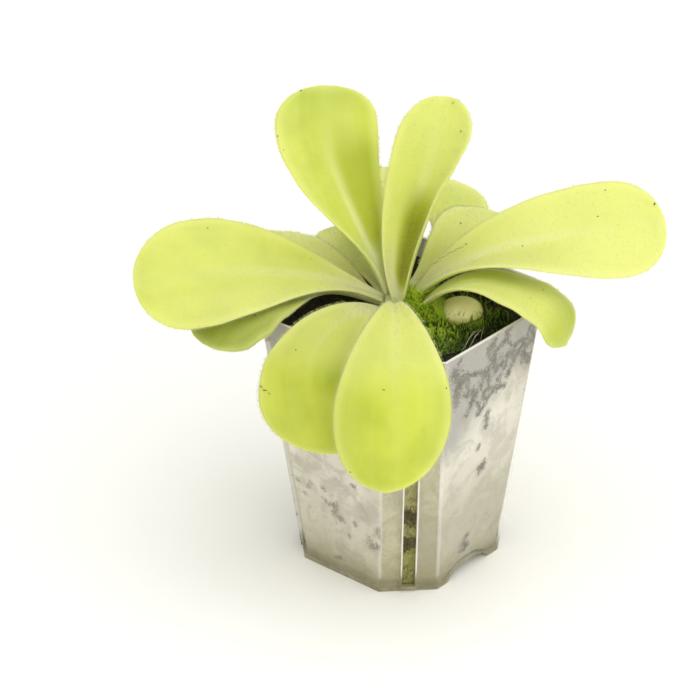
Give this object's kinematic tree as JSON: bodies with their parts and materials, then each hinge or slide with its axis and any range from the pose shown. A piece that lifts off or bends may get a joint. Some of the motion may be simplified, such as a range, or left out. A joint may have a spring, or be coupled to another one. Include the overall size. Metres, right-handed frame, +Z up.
{
  "type": "potted butterwort",
  "caption": "Rosette of broad fleshy leaves, some upright and some arching over the rim, with moss and a pebble in a tapered clear square pot.",
  "frame": {"origin": "centre of the pot's base, on the surface that it stands on", "axes": "+Z up; X and Y square to the pot's four wide faces, with the two arched recesses in the +X and -X base edges"},
  "size_m": [0.1136, 0.1054, 0.1287],
  "materials": {
    "pot": "clear plastic, fogged and water-marked",
    "sphagnum": "matt, long pale moss fibres",
    "peat": "matt, damp and crumbly",
    "pebble": "satin, smooth",
    "moss": "matt, fine upright shoots",
    "crown": "satin, pale and fleshy",
    "leaf": "greasy satin, fleshy and slightly see-through"
  },
  "bodies": {
    "root": {"pot": "pot", "sphagnum_fill": "sphagnum", "peat": "peat", "pebble": "pebble", "moss": "moss", "crown": "crown", "outer_leaf_1": "leaf", "outer_leaf_2": "leaf", "outer_leaf_3": "leaf", "outer_leaf_4": "leaf", "outer_leaf_5": "leaf", "outer_leaf_6": "leaf", "outer_leaf_7": "leaf", "middle_leaf_1": "leaf", "middle_leaf_2": "leaf", "middle_leaf_3": "leaf", "middle_leaf_4": "leaf", "inner_leaf_1": "leaf", "inner_leaf_2": "leaf", "inner_leaf_3": "leaf"}
  },
  "joints": []
}
